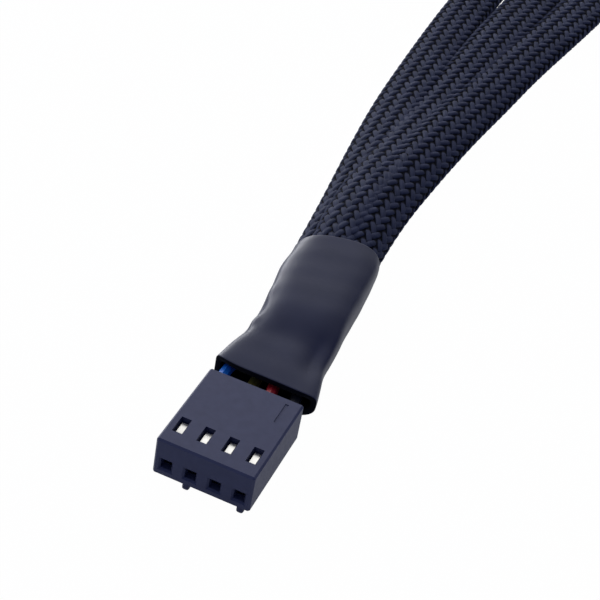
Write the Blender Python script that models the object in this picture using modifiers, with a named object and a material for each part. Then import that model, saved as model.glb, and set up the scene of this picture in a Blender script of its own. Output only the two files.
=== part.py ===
"""One-to-three splitter cable for four-wire computer fans.

Metres, +Z up, +Y along the cable. The origin is the centre of the socket's mating
face, which looks along -Y. Everything rests on a table at height TABLE.
"""
import math

import bmesh
import bpy
import numpy as np
from mathutils import Matrix, Vector

# Socket housing, 2.54 mm pitch
CIRCUITS = 4
PITCH = 0.00254
HOUSING_LENGTH = 0.0118
HOUSING_HEIGHT = 0.0045
HOUSING_EDGE = 0.0002
ROW_DROP = 0.00075
PIN_HOLE = 0.00115
PIN_HOLE_FLARE = 0.0002
FACE_WALL = 0.0010
CAVITY_SIDE = 0.0019
WINDOW_WIDTH = 0.00105
WINDOW_LENGTH = 0.0022
WINDOW_START = 0.0017
RIB_PLACES = (-0.0017, 0.0040)
RIB_WIDTH = 0.00075
RIB_HEIGHT = 0.0010
RIB_START = 0.0004
KEY_BAR_PLACE = (0.0036, 0.0094)
KEY_BAR_WIDTH = 0.00035
KEY_BAR_LENGTH = 0.0030
KEY_BAR_DEPTH = 0.00008

# Crimp contacts
CONTACT_FIT = 0.00015
BOX_LENGTH = 0.0054
NECK_SIDE = 0.0009
NECK_LENGTH = 0.0016
BARREL_RADIUS = 0.00085
BARREL_LENGTH = 0.0026
BARREL_BORE = 0.00075
GRIP_DEPTH = 0.0020
PASSAGE_SIDE = 0.00084
LANCE_DEPTH = 0.00055
LANCE_THICKNESS = 0.00030
PIN_SIDE = 0.00064
PIN_TAPER = 0.0006

# Wires, splices and the heat-shrink boot that covers them
WIRE_RADIUS = 0.00062
SPLICE_LENGTH = 0.0070
SPLICE_PITCH = 0.0019
SPLICE_START = 0.0062
SPLICE_CENTRE = -0.0004
SPLICE_HEIGHT = 0.0034
LEAD_LIFT = 1.8
# How far each lead sways between the housing and its splice: aside and up, black lead first
LEAD_SWAY = ((0.0, 0.0), (-0.0002, 0.0003), (0.0, -0.0003), (-0.0008, 0.0))
SWAY_LEAN = 0.72
BOOT_GAP = 0.0021
BOOT_WALL = 0.0005
# Distance from the mouth, centre x, centre height, half width, half height, skew in degrees,
# squareness; a squareness of 2 is an ellipse
BOOT_SECTIONS = (
    (0.0000, -0.0001, 0.0033, 0.00560, 0.00175, 0, 2.9),
    (0.0030, -0.0002, 0.0033, 0.00518, 0.00185, 0, 2.8),
    (0.0072, -0.0003, 0.0033, 0.00465, 0.00210, 0, 2.5),
    (0.0120, -0.0007, 0.0034, 0.00465, 0.00265, 2, 2.3),
    (0.0170, -0.0011, 0.0034, 0.00480, 0.00290, 6, 2.3),
    (0.0220, -0.0015, 0.0034, 0.00480, 0.00305, 10, 2.3),
    (0.0245, -0.0017, 0.0034, 0.00475, 0.00315, 13, 2.3),
)

# Braided branches: x, distance from the boot's mouth, height of the centre over the table
BRANCH_RADIUS = 0.00195
BRANCH_RADIUS_IN_BOOT = 0.00108
BRANCH_SWELL_START = 0.0260
BRANCH_SWELL_END = 0.0760
BRANCH_SPACING = 0.0055
# A branch is on its way back once it is this far to the right
FOLD_START = 0.0150
BRANCH_ROUTES = (
    (
        (-0.0030, 0.0140, 0.0028), (-0.0037, 0.0190, 0.0026), (-0.0042, 0.0240, 0.0024),
        (-0.0047, 0.0300, 0.0022), (-0.0056, 0.0390, 0.0021), (-0.0068, 0.0500, 0.00205),
        (-0.0079, 0.0620, 0.00205), (-0.0085, 0.0740, 0.00205), (-0.0089, 0.0860, 0.00205),
        (-0.0091, 0.1000, 0.00205), (-0.0088, 0.1170, 0.00205), (-0.0080, 0.1320, 0.00205),
        (-0.0040, 0.1474, 0.00205), (0.0064, 0.1580, 0.00205), (0.0206, 0.1618, 0.00205),
        (0.0348, 0.1580, 0.00205), (0.0452, 0.1476, 0.0022), (0.0488, 0.1340, 0.0032),
        (0.0490, 0.1270, 0.0035), (0.0492, 0.1210, 0.0034), (0.0503, 0.1155, 0.0031),
        (0.0530, 0.1095, 0.0028), (0.0544, 0.1045, 0.0028), (0.0545, 0.1000, 0.0028),
        (0.0545, 0.0960, 0.0028), (0.0545, 0.0920, 0.0028),
    ),
    (
        (-0.0012, 0.0140, 0.0042), (-0.0019, 0.0190, 0.0044), (-0.0027, 0.0240, 0.0047),
        (-0.0036, 0.0300, 0.0050), (-0.0042, 0.0380, 0.0047), (-0.0042, 0.0480, 0.0040),
        (-0.0037, 0.0600, 0.0028), (-0.0031, 0.0700, 0.00215), (-0.0027, 0.0800, 0.00205),
        (-0.0022, 0.0950, 0.00205), (-0.0014, 0.1100, 0.00205), (-0.0006, 0.1240, 0.00205),
        (0.0002, 0.1350, 0.00205), (0.0036, 0.1453, 0.00205), (0.0108, 0.1526, 0.00205),
        (0.0208, 0.1552, 0.00205), (0.0308, 0.1524, 0.00205), (0.0380, 0.1450, 0.00215),
        (0.0408, 0.1340, 0.0032), (0.0412, 0.1270, 0.0035), (0.0413, 0.1210, 0.0034),
        (0.0417, 0.1150, 0.0028), (0.0428, 0.1060, 0.0021), (0.0441, 0.0960, 0.0021),
        (0.0449, 0.0880, 0.0026), (0.0452, 0.0830, 0.0028), (0.0452, 0.0785, 0.0028),
        (0.0452, 0.0740, 0.0028), (0.0452, 0.0700, 0.0028),
    ),
    (
        (0.0010, 0.0140, 0.0032), (0.0005, 0.0190, 0.0034), (0.0000, 0.0240, 0.0036),
        (-0.0005, 0.0300, 0.0038), (-0.0008, 0.0380, 0.0037), (-0.0006, 0.0480, 0.0034),
        (0.0002, 0.0620, 0.0026), (0.0012, 0.0730, 0.0021), (0.0024, 0.0840, 0.00205),
        (0.0041, 0.0960, 0.00205), (0.0059, 0.1090, 0.00205), (0.0072, 0.1220, 0.00205),
        (0.0078, 0.1340, 0.00205), (0.0097, 0.1411, 0.00205), (0.0146, 0.1463, 0.00205),
        (0.0212, 0.1482, 0.00205), (0.0278, 0.1462, 0.00205), (0.0322, 0.1410, 0.0024),
        (0.0333, 0.1340, 0.0032), (0.0334, 0.1270, 0.0035), (0.0334, 0.1210, 0.0034),
        (0.0335, 0.1150, 0.0028), (0.0340, 0.1050, 0.0021), (0.0348, 0.0910, 0.00205),
        (0.0355, 0.0790, 0.00205), (0.0359, 0.0700, 0.0025), (0.0360, 0.0640, 0.0028),
        (0.0360, 0.0595, 0.0028), (0.0360, 0.0550, 0.0028), (0.0360, 0.0510, 0.0028),
    ),
)
# The first branch carries the speed wire, third from the right; the others leave it out
BRANCH_CIRCUITS = ((0, 1, 2, 3), (0, 1, 3), (0, 1, 3))

# Heat-shrink collar at a branch's end
COLLAR_LENGTH = 0.0105
COLLAR_OVERHANG = 0.0014
COLLAR_WALL = 0.00045
COLLAR_FIT = 0.00020
COLLAR_MOUTH_BORE = 0.0018
BUNDLE_OFFSET = 0.00074

# Plug: an open shroud round the pins, which takes a housing like the socket
PLUG_TAIL = 0.0055
PLUG_LENGTH = 0.0140
PLUG_BLOCK = 0.0050
PLUG_WALL = 0.0008
PLUG_RIB_WALL = 0.0014
PLUG_EDGE = 0.0002
MATING_FIT = 0.0002
PIN_RECESS = 0.0008

# Strap round the folded branches
STRAP_PLACE = (0.0412, 0.1250)
STRAP_SPAN = 0.0158
STRAP_WIDTH = 0.0100
STRAP_THICKNESS = 0.0010
STRAP_FIT = 0.0005

# Worked out from the sizes above
NEIGHBOUR_GAP = 0.0003
HOUSING_WIDTH = CIRCUITS * PITCH
TABLE = -(HOUSING_HEIGHT / 2 + RIB_HEIGHT)
CONTACT_SIDE = CAVITY_SIDE - 2 * CONTACT_FIT
CONTACT_START = FACE_WALL + CONTACT_FIT
CONTACT_END = CONTACT_START + BOX_LENGTH + NECK_LENGTH + BARREL_LENGTH
LANCE_WIDTH = 0.6 * WINDOW_WIDTH
LANCE_START = WINDOW_START + 2 * CONTACT_FIT - CONTACT_START
LANCE_LENGTH = WINDOW_LENGTH - 3 * CONTACT_FIT
LANCE_TOP = HOUSING_HEIGHT / 2 + ROW_DROP - LANCE_DEPTH
BOOT_START = HOUSING_LENGTH + BOOT_GAP
SPLICE_MOUTH = BOOT_START + SPLICE_START
CIRCUIT_PLACES = [((CIRCUITS - 1) / 2 - n) * PITCH for n in range(CIRCUITS)]
SPLICE_PLACES = [SPLICE_CENTRE + ((CIRCUITS - 1) / 2 - n) * SPLICE_PITCH for n in range(CIRCUITS)]
PLUG_ROW = PLUG_RIB_WALL + MATING_FIT + HOUSING_HEIGHT / 2 - ROW_DROP
PLUG_BARREL_START = PLUG_TAIL + CONTACT_FIT
EAT = 0.0005

COLOURS = {
    "housing": ((0.020, 0.022, 0.028), 0.45, 0.0),
    "metal": ((0.72, 0.71, 0.68), 0.25, 1.0),
    "boot": ((0.014, 0.015, 0.020), 0.40, 0.0),
    "sleeve": ((0.018, 0.019, 0.026), 0.60, 0.0),
    "strap": ((0.020, 0.020, 0.022), 0.85, 0.0),
    "wire_black": ((0.012, 0.012, 0.014), 0.40, 0.0),
    "wire_red": ((0.480, 0.030, 0.020), 0.40, 0.0),
    "wire_yellow": ((0.450, 0.380, 0.050), 0.40, 0.0),
    "wire_blue": ((0.030, 0.080, 0.380), 0.40, 0.0),
}
WIRE_NAMES = ("black", "red", "yellow", "blue")


def clear_scene():
    for item in list(bpy.data.objects):
        bpy.data.objects.remove(item, do_unlink=True)


def new_collection(name):
    group = bpy.data.collections.new(name)
    bpy.context.scene.collection.children.link(group)
    return group


def make_material(name):
    colour, roughness, metallic = COLOURS[name]
    item = bpy.data.materials.new(name)
    item.use_nodes = True
    shader = item.node_tree.nodes["Principled BSDF"]
    shader.inputs["Base Color"].default_value = (*colour, 1.0)
    shader.inputs["Roughness"].default_value = roughness
    shader.inputs["Metallic"].default_value = metallic
    return item


def place_object(name, data, group, material=None, parent=None):
    item = bpy.data.objects.new(name, data)
    group.objects.link(item)
    if material is not None and not data.materials:
        data.materials.append(material)
    if parent is not None:
        item.parent = parent
    return item


def boxes_mesh(name, boxes):
    """Closed boxes that don't touch, each given by its centre and its size."""
    shape = bmesh.new()
    for centre, size in boxes:
        move = Matrix.Translation(centre) @ Matrix.Diagonal((*size, 1.0))
        bmesh.ops.create_cube(shape, size=1.0, matrix=move)
    return finish_mesh(name, shape)


def rods_mesh(name, rods, sides=12):
    """Closed round rods along Y, each given by its start point, its length and its radius."""
    shape = bmesh.new()
    for start, length, radius in rods:
        middle = Vector(start) + Vector((0, length / 2, 0))
        turn = Matrix.Rotation(math.radians(-90), 4, "X") @ Matrix.Rotation(math.pi / sides, 4, "Z")
        bmesh.ops.create_cone(
            shape, cap_ends=True, segments=sides, radius1=radius, radius2=radius,
            depth=length, matrix=Matrix.Translation(middle) @ turn)
    return finish_mesh(name, shape)


def flares_mesh(name, places, side, flare, height):
    """Square funnels that open towards -Y at y = 0, one at each x."""
    shape = bmesh.new()
    depth = flare + 2 * EAT
    for place in places:
        turn = Matrix.Rotation(math.radians(-90), 4, "X") @ Matrix.Rotation(math.radians(45), 4, "Z")
        middle = Matrix.Translation((place, flare - depth / 2, height))
        bmesh.ops.create_cone(
            shape, cap_ends=True, segments=4, radius1=(side / 2 + depth) * math.sqrt(2),
            radius2=side / 2 * math.sqrt(2), depth=depth, matrix=middle @ turn)
    return finish_mesh(name, shape)


def prism_mesh(name, outline, width):
    """A closed outline in the YZ plane, drawn out along X about x = 0."""
    shape = bmesh.new()
    corners = [shape.verts.new((-width / 2, y, z)) for y, z in outline]
    face = shape.faces.new(corners)
    drawn = bmesh.ops.extrude_face_region(shape, geom=[face])
    moved = [item for item in drawn["geom"] if isinstance(item, bmesh.types.BMVert)]
    bmesh.ops.translate(shape, verts=moved, vec=(width, 0, 0))
    bmesh.ops.recalc_face_normals(shape, faces=shape.faces)
    return finish_mesh(name, shape)


def finish_mesh(name, shape):
    mesh = bpy.data.meshes.new(name)
    shape.to_mesh(mesh)
    shape.free()
    return mesh


def bevel_edges(item, width, segments=1):
    bevel = item.modifiers.new("edges", "BEVEL")
    bevel.width = width
    bevel.segments = segments
    bevel.limit_method = "ANGLE"


def combine(item, tool, operation):
    step = item.modifiers.new(operation.lower(), "BOOLEAN")
    step.operation = operation
    step.object = tool
    step.solver = "EXACT"


def add_tool(item, name, mesh, operation, tools):
    tool = place_object(name, mesh, tools)
    tool.hide_render = True
    tool.display_type = "WIRE"
    combine(item, tool, operation)
    return tool


def settle(item):
    """The finished mesh of an object that was only needed to make it."""
    ready = item.evaluated_get(bpy.context.evaluated_depsgraph_get())
    mesh = bpy.data.meshes.new_from_object(ready)
    mesh.name = item.name
    bpy.data.objects.remove(item, do_unlink=True)
    return mesh


def shade(mesh, angle=35):
    mesh.shade_smooth()
    mesh.set_sharp_from_angle(angle=math.radians(angle))


def turned_mesh(name, profile, group, sides=20):
    """A closed profile of (radius, y) points turned about the Y axis."""
    flat = bpy.data.meshes.new(name)
    points = [(radius, 0.0, -y) for radius, y in profile]
    edges = [(n, (n + 1) % len(points)) for n in range(len(points))]
    flat.from_pydata(points, edges, [])
    item = place_object(name, flat, group)
    screw = item.modifiers.new("turn", "SCREW")
    screw.axis = "Z"
    screw.steps = sides
    screw.render_steps = sides
    screw.use_merge_vertices = True
    screw.merge_threshold = 0.000001
    screw.use_normal_calculate = True
    mesh = settle(item)
    mesh.transform(Matrix.Rotation(math.radians(90), 4, "X"))
    shape = bmesh.new()
    shape.from_mesh(mesh)
    bmesh.ops.recalc_face_normals(shape, faces=shape.faces)
    shape.to_mesh(mesh)
    shape.free()
    shade(mesh)
    return mesh


def smooth_curve(values):
    """Second derivatives of the natural cubic through rows of values at even steps."""
    count = len(values)
    system = np.eye(count)
    right = np.zeros_like(values)
    for n in range(1, count - 1):
        system[n, n - 1:n + 2] = (1, 4, 1)
        right[n] = 6 * (values[n - 1] - 2 * values[n] + values[n + 1])
    return np.linalg.solve(system, right)


def read_curve(values, places):
    """Points of the natural cubic through rows of values, at fractional row numbers."""
    values = np.asarray(values, float)
    bend = smooth_curve(values)
    found = []
    for place in places:
        n = min(int(place), len(values) - 2)
        t = place - n
        s = 1 - t
        point = s * values[n] + t * values[n + 1]
        point = point + ((s ** 3 - s) * bend[n] + (t ** 3 - t) * bend[n + 1]) / 6
        found.append(point)
    return np.array(found)


def even_points(route, spacing):
    """Points about spacing apart along the smooth curve through a route."""
    fine = read_curve(route, np.linspace(0, len(route) - 1, 40 * len(route)))
    steps = np.linalg.norm(np.diff(fine, axis=0), axis=1)
    along = np.concatenate([[0], np.cumsum(steps)])
    count = max(4, round(along[-1] / spacing) + 1)
    wanted = np.linspace(0, along[-1], count)
    return np.stack([np.interp(wanted, along, fine[:, axis]) for axis in range(3)], axis=1)


def add_tube(name, points, radius, group, material, shares=None, parent=None):
    """A round tube on a polyline; shares scale the radius at each point."""
    data = bpy.data.curves.new(name, "CURVE")
    data.dimensions = "3D"
    data.bevel_depth = radius
    data.bevel_resolution = 2
    data.use_fill_caps = True
    line = data.splines.new("POLY")
    line.points.add(len(points) - 1)
    for n, point in enumerate(points):
        line.points[n].co = (*point, 1.0)
        line.points[n].radius = 1.0 if shares is None else shares[n]
    return place_object(name, data, group, material, parent)


def ease(t):
    t = min(1.0, max(0.0, t))
    return t * t * (3 - 2 * t)


def add_socket_housing(parts, tools, paint):
    width, length, height = HOUSING_WIDTH, HOUSING_LENGTH, HOUSING_HEIGHT
    body = boxes_mesh("socket_housing", [((0, length / 2, 0), (width, length, height))])
    item = place_object("socket_housing", body, parts, paint["housing"])
    bevel_edges(item, HOUSING_EDGE)
    rib_length = length - RIB_START
    rib_size = (RIB_WIDTH, rib_length, RIB_HEIGHT + EAT)
    rib_height = TABLE + (RIB_HEIGHT + EAT) / 2
    ribs = [((x, RIB_START + rib_length / 2, rib_height), rib_size) for x in RIB_PLACES]
    rib_tool = add_tool(item, "socket_ribs", boxes_mesh("socket_ribs", ribs), "UNION", tools)
    bevel_edges(rib_tool, RIB_WIDTH * 0.3, 2)
    floor = -ROW_DROP
    holes = [((x, FACE_WALL / 2, floor), (PIN_HOLE, FACE_WALL + 2 * EAT, PIN_HOLE)) for x in CIRCUIT_PLACES]
    add_tool(item, "socket_pin_holes", boxes_mesh("socket_pin_holes", holes), "DIFFERENCE", tools)
    flares = flares_mesh("socket_flares", CIRCUIT_PLACES, PIN_HOLE, PIN_HOLE_FLARE, floor)
    add_tool(item, "socket_flares", flares, "DIFFERENCE", tools)
    deep = length - FACE_WALL + EAT
    cavities = [((x, FACE_WALL + deep / 2, floor), (CAVITY_SIDE, deep, CAVITY_SIDE)) for x in CIRCUIT_PLACES]
    add_tool(item, "socket_cavities", boxes_mesh("socket_cavities", cavities), "DIFFERENCE", tools)
    tall = height / 2 + ROW_DROP + EAT
    middle = WINDOW_START + WINDOW_LENGTH / 2
    windows = [
        ((x, middle, floor + tall / 2), (WINDOW_WIDTH, WINDOW_LENGTH, tall)) for x in CIRCUIT_PLACES]
    add_tool(item, "socket_windows", boxes_mesh("socket_windows", windows), "DIFFERENCE", tools)
    bar_centre = (*KEY_BAR_PLACE, height / 2)
    bar_size = (KEY_BAR_WIDTH, KEY_BAR_LENGTH, 2 * KEY_BAR_DEPTH)
    bar = boxes_mesh("socket_key_bar", [(bar_centre, bar_size)])
    add_tool(item, "socket_key_bar", bar, "DIFFERENCE", tools)


def contact_mesh(name, box_length, neck_length, tools, passage, lance):
    """A crimp contact with its front at y = 0; its wire barrel opens to +Y."""
    half = CONTACT_SIDE / 2
    box = boxes_mesh(name, [((0, box_length / 2, 0), (CONTACT_SIDE, box_length, CONTACT_SIDE))])
    item = place_object(name, box, tools)
    neck_size = (NECK_SIDE, neck_length + 2 * EAT, NECK_SIDE)
    neck = boxes_mesh("neck", [((0, box_length + neck_length / 2, 0), neck_size)])
    used = [add_tool(item, name + "_neck", neck, "UNION", tools)]
    barrel_start = box_length + neck_length
    barrel = rods_mesh("barrel", [((0, barrel_start, 0), BARREL_LENGTH, BARREL_RADIUS)])
    used.append(add_tool(item, name + "_barrel", barrel, "UNION", tools))
    if lance:
        outline = (
            (LANCE_START, half - EAT), (LANCE_START, LANCE_TOP - LANCE_THICKNESS),
            (LANCE_START + LANCE_THICKNESS, LANCE_TOP), (LANCE_START + LANCE_LENGTH, LANCE_TOP),
            (LANCE_START + LANCE_LENGTH, LANCE_TOP - LANCE_THICKNESS),
            (LANCE_START + 2 * LANCE_THICKNESS, LANCE_TOP - LANCE_THICKNESS),
            (LANCE_START + 2 * LANCE_THICKNESS, half - EAT),
        )
        tab = prism_mesh("lance", outline, LANCE_WIDTH)
        used.append(add_tool(item, name + "_lance", tab, "UNION", tools))
    bore_start = barrel_start + BARREL_LENGTH - GRIP_DEPTH
    bore = rods_mesh("bore", [((0, bore_start, 0), GRIP_DEPTH + EAT, BARREL_BORE)])
    used.append(add_tool(item, name + "_bore", bore, "DIFFERENCE", tools))
    if passage:
        deep = box_length * 0.85
        size = (PASSAGE_SIDE, deep + EAT, PASSAGE_SIDE)
        hole = boxes_mesh("passage", [((0, (deep - EAT) / 2, 0), size)])
        used.append(add_tool(item, name + "_passage", hole, "DIFFERENCE", tools))
    mesh = settle(item)
    for tool in used:
        bpy.data.objects.remove(tool, do_unlink=True)
    return mesh


def add_contacts(parts, tools, paint):
    mesh = contact_mesh("socket_contact", BOX_LENGTH, NECK_LENGTH, tools, True, True)
    for n, x in enumerate(CIRCUIT_PLACES):
        item = place_object(f"socket_contact_{n + 1}", mesh, parts, paint["metal"])
        item.location = (x, CONTACT_START, -ROW_DROP)


def add_leads(parts, paint):
    start = CONTACT_END - GRIP_DEPTH + CONTACT_FIT
    end = SPLICE_MOUTH + GRIP_DEPTH - CONTACT_FIT
    leave = CONTACT_END
    arrive = SPLICE_MOUTH
    for n, (x0, x1) in enumerate(zip(CIRCUIT_PLACES, SPLICE_PLACES)):
        points = [(x0, start, -ROW_DROP)]
        aside, up = LEAD_SWAY[n]
        for step in range(10):
            t = step / 9
            sway = math.sin(math.pi * t ** SWAY_LEAN) ** 2
            x = x0 + (x1 - x0) * ease(t) + aside * sway
            z = -ROW_DROP + (TABLE + SPLICE_HEIGHT + ROW_DROP) * ease(min(1.0, LEAD_LIFT * t)) + up * sway
            points.append((x, leave + (arrive - leave) * t, z))
        points.append((x1, end, TABLE + SPLICE_HEIGHT))
        colour = WIRE_NAMES[n]
        add_tube(f"lead_{colour}", points, WIRE_RADIUS, parts, paint[f"wire_{colour}"])


def add_splices(parts, tools, paint):
    profile = (
        (BARREL_RADIUS, 0.0), (BARREL_RADIUS, SPLICE_LENGTH), (BARREL_RADIUS / 4, SPLICE_LENGTH),
        (BARREL_RADIUS / 4, GRIP_DEPTH), (BARREL_BORE, GRIP_DEPTH), (BARREL_BORE, 0.0),
    )
    mesh = turned_mesh("splice", profile, tools, 12)
    for n, x in enumerate(SPLICE_PLACES):
        item = place_object(f"splice_{WIRE_NAMES[n]}", mesh, parts, paint["metal"])
        item.location = (x, SPLICE_MOUTH, TABLE + SPLICE_HEIGHT)


def add_splitter_boot(parts, paint):
    """The skin is lofted through the sections, then given its wall inwards."""
    count, rings = 32, 13
    sections = read_curve(BOOT_SECTIONS, np.linspace(0, len(BOOT_SECTIONS) - 1, rings))
    shape = bmesh.new()
    loops = []
    for distance, x, height, wide, tall, skew, square in sections:
        loop = []
        for n in range(count):
            turn = 2 * math.pi * n / count
            c, s = math.cos(turn), math.sin(turn)
            across = wide * math.copysign(abs(c) ** (2 / square), c)
            up = tall * math.copysign(abs(s) ** (2 / square), s)
            along = BOOT_START + distance + across * math.tan(math.radians(skew))
            loop.append(shape.verts.new((x + across, along, TABLE + height + up)))
        loops.append(loop)
    for near, far in zip(loops, loops[1:]):
        for n in range(count):
            m = (n + 1) % count
            shape.faces.new((near[n], near[m], far[m], far[n]))
    bmesh.ops.recalc_face_normals(shape, faces=shape.faces)
    mesh = finish_mesh("splitter_boot", shape)
    shade(mesh, 60)
    item = place_object("splitter_boot", mesh, parts, paint["boot"])
    wall = item.modifiers.new("wall", "SOLIDIFY")
    wall.thickness = BOOT_WALL
    wall.offset = -1.0
    wall.use_even_offset = True


def branch_points(route):
    world = [(x, BOOT_START + y, TABLE + height) for x, y, height in route]
    return even_points(world, BRANCH_SPACING)


def branch_shares(points):
    """The sleeve is squeezed in the boot and swells to its full section past it."""
    shares = []
    for point in points:
        t = (point[1] - BOOT_START - BRANCH_SWELL_START) / (BRANCH_SWELL_END - BRANCH_SWELL_START)
        radius = BRANCH_RADIUS_IN_BOOT + (BRANCH_RADIUS - BRANCH_RADIUS_IN_BOOT) * min(1.0, max(0.0, t))
        shares.append(radius / BRANCH_RADIUS)
    turn = int(np.argmax(points[:, 0] > FOLD_START))
    if turn:
        shares[turn:] = [1.0] * (len(shares) - turn)
    return shares


def collar_mesh(tools):
    """Local frame: y = 0 at the branch's cut end, +Y towards the plug."""
    inner = BRANCH_RADIUS + COLLAR_FIT
    outer = inner + COLLAR_WALL
    lip = COLLAR_MOUTH_BORE + COLLAR_WALL
    back = COLLAR_OVERHANG - COLLAR_LENGTH
    profile = (
        (outer, back), (outer, 0.0), (lip, COLLAR_OVERHANG),
        (COLLAR_MOUTH_BORE, COLLAR_OVERHANG), (inner, COLLAR_FIT), (inner, back),
    )
    return turned_mesh("collar", profile, tools, 20)


def plug_housing_mesh(tools):
    """Local frame as the collar's, with z = 0 on the table."""
    inside_wide = HOUSING_WIDTH + 2 * MATING_FIT
    inside_high = HOUSING_HEIGHT + 2 * MATING_FIT
    wide = inside_wide + 2 * PLUG_WALL
    high = PLUG_RIB_WALL + inside_high + PLUG_WALL
    middle = PLUG_TAIL + PLUG_LENGTH / 2
    box = boxes_mesh("plug_housing", [((0, middle, high / 2), (wide, PLUG_LENGTH, high))])
    item = place_object("plug_housing", box, tools)
    bevel_edges(item, PLUG_EDGE)
    front = PLUG_TAIL + PLUG_LENGTH
    deep = PLUG_LENGTH - PLUG_BLOCK
    shroud_middle = front - deep / 2 + EAT / 2
    shroud_size = (inside_wide, deep + EAT, inside_high)
    shroud = boxes_mesh("shroud", [((0, shroud_middle, PLUG_RIB_WALL + inside_high / 2), shroud_size)])
    used = [add_tool(item, "plug_shroud", shroud, "DIFFERENCE", tools)]
    groove_high = RIB_HEIGHT + EAT
    groove_wide = RIB_WIDTH + 2 * MATING_FIT
    groove_middle = PLUG_RIB_WALL + EAT - groove_high / 2
    groove_size = (groove_wide, deep + EAT, groove_high)
    grooves = [((x, shroud_middle, groove_middle), groove_size) for x in RIB_PLACES]
    used.append(add_tool(item, "plug_grooves", boxes_mesh("grooves", grooves), "DIFFERENCE", tools))
    channel = PLUG_BLOCK - FACE_WALL
    channels = [
        ((x, PLUG_TAIL + (channel - EAT) / 2, PLUG_ROW), (CAVITY_SIDE, channel + EAT, CAVITY_SIDE))
        for x in CIRCUIT_PLACES]
    used.append(add_tool(item, "plug_channels", boxes_mesh("channels", channels), "DIFFERENCE", tools))
    hole = PIN_SIDE + 2 * CONTACT_FIT
    holes = [
        ((x, PLUG_TAIL + PLUG_BLOCK - FACE_WALL / 2, PLUG_ROW), (hole, FACE_WALL + 2 * EAT, hole))
        for x in CIRCUIT_PLACES]
    used.append(add_tool(item, "plug_holes", boxes_mesh("holes", holes), "DIFFERENCE", tools))
    window_middle = PLUG_TAIL + PLUG_BLOCK - FACE_WALL - WINDOW_LENGTH / 2
    tall = high - PLUG_ROW + EAT
    windows = [
        ((x, window_middle, PLUG_ROW + tall / 2), (WINDOW_WIDTH, WINDOW_LENGTH, tall))
        for x in CIRCUIT_PLACES]
    used.append(add_tool(item, "plug_windows", boxes_mesh("windows", windows), "DIFFERENCE", tools))
    mesh = settle(item)
    for tool in used:
        bpy.data.objects.remove(tool, do_unlink=True)
    return mesh


def plug_pin_mesh(tools):
    """Local frame as the collar's, with z = 0 on the pin row."""
    box_start = PLUG_BARREL_START + BARREL_LENGTH
    box_end = PLUG_TAIL + PLUG_BLOCK - FACE_WALL - CONTACT_FIT
    tip = PLUG_TAIL + PLUG_LENGTH - PIN_RECESS
    barrel = rods_mesh("plug_pin", [((0, PLUG_BARREL_START, 0), BARREL_LENGTH, BARREL_RADIUS)])
    item = place_object("plug_pin", barrel, tools)
    collar = box_end - box_start + EAT / 2
    seat = boxes_mesh("seat", [((0, box_end - collar / 2, 0), (CONTACT_SIDE, collar, CONTACT_SIDE))])
    used = [add_tool(item, "pin_seat", seat, "UNION", tools)]
    half = PIN_SIDE / 2
    outline = (
        (box_end - EAT, -half), (tip - PIN_TAPER, -half), (tip, -half / 2),
        (tip, half / 2), (tip - PIN_TAPER, half), (box_end - EAT, half),
    )
    used.append(add_tool(item, "pin_blade", prism_mesh("blade", outline, PIN_SIDE), "UNION", tools))
    bore = rods_mesh("bore", [((0, PLUG_BARREL_START - EAT, 0), GRIP_DEPTH + EAT, BARREL_BORE)])
    used.append(add_tool(item, "pin_bore", bore, "DIFFERENCE", tools))
    mesh = settle(item)
    for tool in used:
        bpy.data.objects.remove(tool, do_unlink=True)
    return mesh


def bundle_places(count, height):
    """Where the wires stand in the collar's mouth, from right to left."""
    spread = BUNDLE_OFFSET
    if count == 4:
        return [(spread, height - spread), (spread, height + spread),
                (-spread, height + spread), (-spread, height - spread)]
    return [(spread, height - spread / 2), (0.0, height + spread), (-spread, height - spread / 2)]


def add_plug(number, end, heading, circuits, meshes, parts, paint):
    """One collar, housing, and a pin and a wire for each circuit, on the branch's end."""
    frame = bpy.data.objects.new(f"branch_{number}_end", None)
    parts.objects.link(frame)
    frame.location = (end[0], end[1], TABLE)
    frame.rotation_euler = (0, 0, heading)
    height = end[2] - TABLE
    collar = place_object(f"branch_{number}_collar", meshes["collar"], parts, paint["boot"], frame)
    collar.location = (0, 0, height)
    place_object(f"plug_{number}_housing", meshes["housing"], parts, paint["housing"], frame)
    starts = bundle_places(len(circuits), height)
    first = CONTACT_FIT + NEIGHBOUR_GAP
    last = PLUG_BARREL_START + GRIP_DEPTH - CONTACT_FIT
    arrive = PLUG_TAIL - CONTACT_FIT
    for circuit, (x0, z0) in zip(circuits, starts):
        x1 = CIRCUIT_PLACES[circuit]
        pin = place_object(f"plug_{number}_pin_{circuit + 1}", meshes["pin"], parts, paint["metal"], frame)
        pin.location = (x1, 0, PLUG_ROW)
        points = [(x0, first, z0)]
        for step in range(6):
            t = step / 5
            y = COLLAR_OVERHANG + (arrive - COLLAR_OVERHANG) * t
            points.append((x0 + (x1 - x0) * ease(t), y, z0 + (PLUG_ROW - z0) * ease(t)))
        points.append((x1, last, PLUG_ROW))
        colour = WIRE_NAMES[circuit]
        name = f"plug_{number}_wire_{colour}"
        add_tube(name, points, WIRE_RADIUS, parts, paint[f"wire_{colour}"], None, frame)


def add_branches(parts, tools, paint):
    meshes = {"collar": collar_mesh(tools), "housing": plug_housing_mesh(tools), "pin": plug_pin_mesh(tools)}
    for n, route in enumerate(BRANCH_ROUTES):
        points = branch_points(route)
        add_tube(f"branch_{n + 1}", points, BRANCH_RADIUS, parts, paint["sleeve"], branch_shares(points))
        ahead = Vector(route[-1]) - Vector(route[-2])
        heading = math.atan2(ahead.y, ahead.x) - math.pi / 2
        add_plug(n + 1, points[-1], heading, BRANCH_CIRCUITS[n], meshes, parts, paint)


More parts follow.
